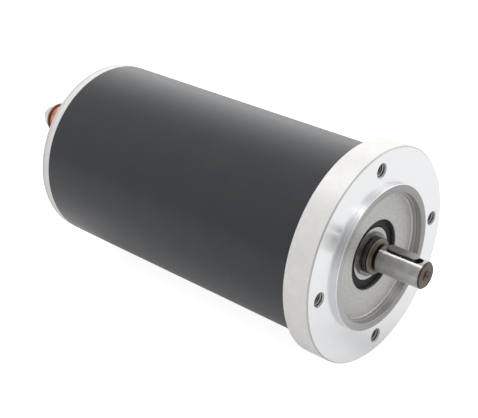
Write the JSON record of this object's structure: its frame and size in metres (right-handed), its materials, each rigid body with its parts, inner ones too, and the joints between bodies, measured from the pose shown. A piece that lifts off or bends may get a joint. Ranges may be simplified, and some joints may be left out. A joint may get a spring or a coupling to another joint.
{
  "type": "electric motor",
  "caption": "Flange-mounted brushed permanent-magnet DC motor: black steel tube, aluminium end covers, keyed shaft, rear screw terminals.",
  "frame": {"origin": "on the motor axis, in the plane of the flange's mounting face", "axes": "+X along the shaft, out of its free end; +Z towards the mounting hole beside the key; the mounting holes lie on the Y and Z axes"},
  "size_m": [0.1893, 0.089, 0.089],
  "materials": {
    "black_paint": "satin black paint on steel",
    "turned_aluminium": "fine turned face, cast-like rim",
    "rear_aluminium": "fine turned",
    "ferrite": "ground ferrite",
    "spring_steel": "rolled spring steel",
    "black_steel": "blackened steel",
    "bearing_steel": "ground",
    "seal_rubber": "matt black nitrile rubber",
    "zinc_steel": "pressed sheet",
    "phenolic": "phenolic laminate",
    "brass": "folded brass sheet",
    "bare_copper": "stranded copper",
    "black_plastic": "moulded",
    "copper": "turned copper",
    "dark_washer": "dark oxidised",
    "nickel_plate": "satin nickel plate",
    "ground_steel": "ground, brownish oil film",
    "key_steel": "drawn, dull grey",
    "clip_steel": "phosphated brown-black",
    "lamination_steel": "stacked sheet edges",
    "fibre": "pressed fibre",
    "enamelled_copper": "varnished wire",
    "glass_tape": "woven glass tape",
    "moulded_resin": "moulded resin",
    "ball_steel": "polished",
    "carbon": "carbon, sintered"
  },
  "bodies": {
    "stator": {"housing_tube": "black_paint", "front_flange": "turned_aluminium", "rear_cover": "rear_aluminium", "field_magnets": "ferrite", "magnet_clips": "spring_steel", "tie_bolts": "black_steel", "front_bearing_outer": "bearing_steel", "front_bearing_seals": "seal_rubber", "bearing_circlip": "black_steel", "rear_bearing_outer": "bearing_steel", "rear_bearing_shields": "zinc_steel", "wave_washer": "spring_steel", "brush_plate": "phenolic", "brush_plate_screws": "zinc_steel", "brush_holders": "brass", "brush_spring_top": "spring_steel", "brush_spring_bottom": "spring_steel", "brush_leads": "bare_copper", "terminal_studs": "brass", "terminal_bushes": "black_plastic", "terminal_inner_washers": "phenolic", "terminal_collars": "copper", "terminal_washers": "dark_washer", "terminal_nuts": "nickel_plate"},
    "rotor": {"shaft": "ground_steel", "shaft_key": "key_steel", "shaft_circlip": "clip_steel", "front_bearing_inner": "bearing_steel", "rear_bearing_inner": "bearing_steel", "rotor_core": "lamination_steel", "end_insulators": "fibre", "windings": "enamelled_copper", "winding_bands": "glass_tape", "commutator_bars": "bare_copper", "commutator_hub": "moulded_resin"},
    "front_ball_set": {"front_bearing_balls": "ball_steel", "front_bearing_cage": "zinc_steel"},
    "rear_ball_set": {"rear_bearing_balls": "ball_steel", "rear_bearing_cage": "zinc_steel"},
    "brush_top": {"carbon_brush_top": "carbon"},
    "brush_bottom": {"carbon_brush_bottom": "carbon"}
  },
  "joints": [
    {"name": "shaft_spin", "type": "hinge", "parent": "stator", "child": "rotor", "pos_m": [0, 0, 0], "axis": [1, 0, 0], "continuous": true},
    {"name": "front_balls_spin", "type": "hinge", "parent": "stator", "child": "front_ball_set", "pos_m": [-0.0092, 0, 0], "axis": [1, 0, 0], "continuous": true},
    {"name": "rear_balls_spin", "type": "hinge", "parent": "stator", "child": "rear_ball_set", "pos_m": [-0.151, 0, 0], "axis": [1, 0, 0], "continuous": true},
    {"name": "brush_top_slide", "type": "slide", "parent": "stator", "child": "brush_top", "axis": [0, 0, 1], "range_m": [0, 0.003], "stiffness_N_per_m": 200, "springref_m": -0.012, "deforming": ["brush_spring_top"]},
    {"name": "brush_bottom_slide", "type": "slide", "parent": "stator", "child": "brush_bottom", "axis": [0, 0, -1], "range_m": [0, 0.003], "stiffness_N_per_m": 200, "springref_m": -0.012, "deforming": ["brush_spring_bottom"]}
  ],
  "couplings": [
    {"joint": "front_balls_spin", "follows": "shaft_spin", "ratio": 0.3808},
    {"joint": "rear_balls_spin", "follows": "shaft_spin", "ratio": 0.381}
  ]
}
